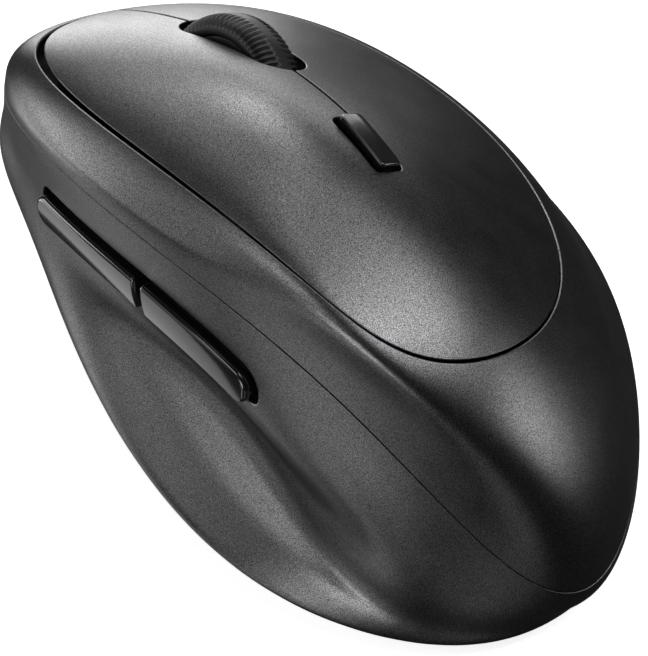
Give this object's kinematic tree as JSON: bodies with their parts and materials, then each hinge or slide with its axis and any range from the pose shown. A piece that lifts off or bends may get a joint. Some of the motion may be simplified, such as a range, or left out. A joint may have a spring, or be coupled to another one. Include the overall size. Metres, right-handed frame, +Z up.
{
  "type": "vertical computer mouse",
  "caption": "Right-handed upright mouse with a leaning button panel, ribbed scroll wheel, centre button, thumb buttons above a thumb wing, battery bay and glide feet.",
  "frame": {"origin": "on the table under the middle of the body", "axes": "+Y towards the front, +X towards the right-hand side, +Z up"},
  "size_m": [0.071, 0.1102, 0.0553],
  "materials": {
    "gunmetal": "satin metallic",
    "gloss_black": "polished",
    "tyre_rubber": "matte",
    "dark_plastic": "fine grain",
    "switch_black": "matte",
    "board_green": "solder mask",
    "white_plastic": "matte",
    "clear_lens": "clear",
    "cell_wrap": "plain wrap",
    "steel": "plated",
    "glide": "slick"
  },
  "bodies": {
    "case": {"base_plate": "dark_plastic", "thumb_shell": "gunmetal", "upper_shell": "gunmetal", "palm_cover": "gunmetal", "middle_switch": "switch_black", "dpi_switch": "switch_black", "side_button_frame": "dark_plastic", "side_board": "board_green", "side_switches": "switch_black", "button_board": "board_green", "left_switch": "switch_black", "right_switch": "switch_black", "inner_frame": "dark_plastic", "main_board": "board_green", "sensor_chip": "switch_black", "sensor_lens": "clear_lens", "power_switch_body": "steel", "battery_cell": "cell_wrap", "battery_tray": "dark_plastic", "positive_contact": "steel", "negative_contact": "steel", "usb_receiver": "dark_plastic", "front_feet": "glide", "rear_foot": "glide", "case_screws": "steel", "board_screws": "steel", "ribbon_cable": "white_plastic"},
    "left_button": {"left_button": "gunmetal"},
    "right_button": {"right_button": "gunmetal"},
    "left_pin": {"left_switch_pin": "white_plastic"},
    "right_pin": {"right_switch_pin": "white_plastic"},
    "cradle": {"wheel_cradle": "dark_plastic", "wheel_encoder": "switch_black"},
    "wheel": {"wheel_tyre": "tyre_rubber", "wheel_hub": "dark_plastic", "wheel_axle": "steel"},
    "dpi": {"dpi_button": "gloss_black"},
    "forward": {"forward_button": "gloss_black"},
    "back": {"back_button": "gloss_black"},
    "power_knob": {"power_switch_knob": "white_plastic"},
    "door": {"battery_door": "dark_plastic"}
  },
  "joints": [
    {"name": "left_button_press", "type": "hinge", "parent": "case", "child": "left_button", "pos_m": [0.00024, -0.01671, 0.04765], "axis": [0.9449, -0.033, -0.3256], "range_deg": [-1.2, 0], "stiffness_Nm_per_rad": 1.2},
    {"name": "right_button_press", "type": "hinge", "parent": "case", "child": "right_button", "pos_m": [0.00024, -0.01671, 0.04765], "axis": [0.9449, -0.033, -0.3256], "range_deg": [-1.2, 0], "stiffness_Nm_per_rad": 1.2},
    {"name": "left_pin_press", "type": "slide", "parent": "case", "child": "left_pin", "axis": [-0.5036, -0.2827, -0.8164], "range_m": [0, 0.0006]},
    {"name": "right_pin_press", "type": "slide", "parent": "case", "child": "right_pin", "axis": [-0.5036, -0.2827, -0.8164], "range_m": [0, 0.0006]},
    {"name": "wheel_click", "type": "hinge", "parent": "case", "child": "cradle", "pos_m": [-0.00418, 0.03196, 0.03452], "axis": [0.8613, -0.0905, -0.5], "range_deg": [0, 1.1], "stiffness_Nm_per_rad": 0.6},
    {"name": "wheel_spin", "type": "hinge", "parent": "cradle", "child": "wheel", "pos_m": [-0.00267, 0.01941, 0.0394], "axis": [0.8613, -0.0905, -0.5], "continuous": true},
    {"name": "dpi_press", "type": "slide", "parent": "case", "child": "dpi", "axis": [-0.5377, 0.1234, -0.8341], "range_m": [0, 0.0004], "stiffness_N_per_m": 2000},
    {"name": "forward_press", "type": "slide", "parent": "case", "child": "forward", "axis": [0.9904, -0.0462, 0.1304], "range_m": [0, 0.0005], "stiffness_N_per_m": 1400},
    {"name": "back_press", "type": "slide", "parent": "case", "child": "back", "axis": [0.9994, 0.0325, -0.0095], "range_m": [0, 0.0005], "stiffness_N_per_m": 1400},
    {"name": "power_slide", "type": "slide", "parent": "case", "child": "power_knob", "axis": [1, 0, 0], "range_m": [0, 0.003]},
    {"name": "door_slide", "type": "slide", "parent": "case", "child": "door", "axis": [0, -1, 0], "range_m": [0, 0.005]}
  ],
  "couplings": [
    {"joint": "left_pin_press", "follows": "left_button_press", "m_per_rad": -0.028648},
    {"joint": "right_pin_press", "follows": "right_button_press", "m_per_rad": -0.028648}
  ]
}
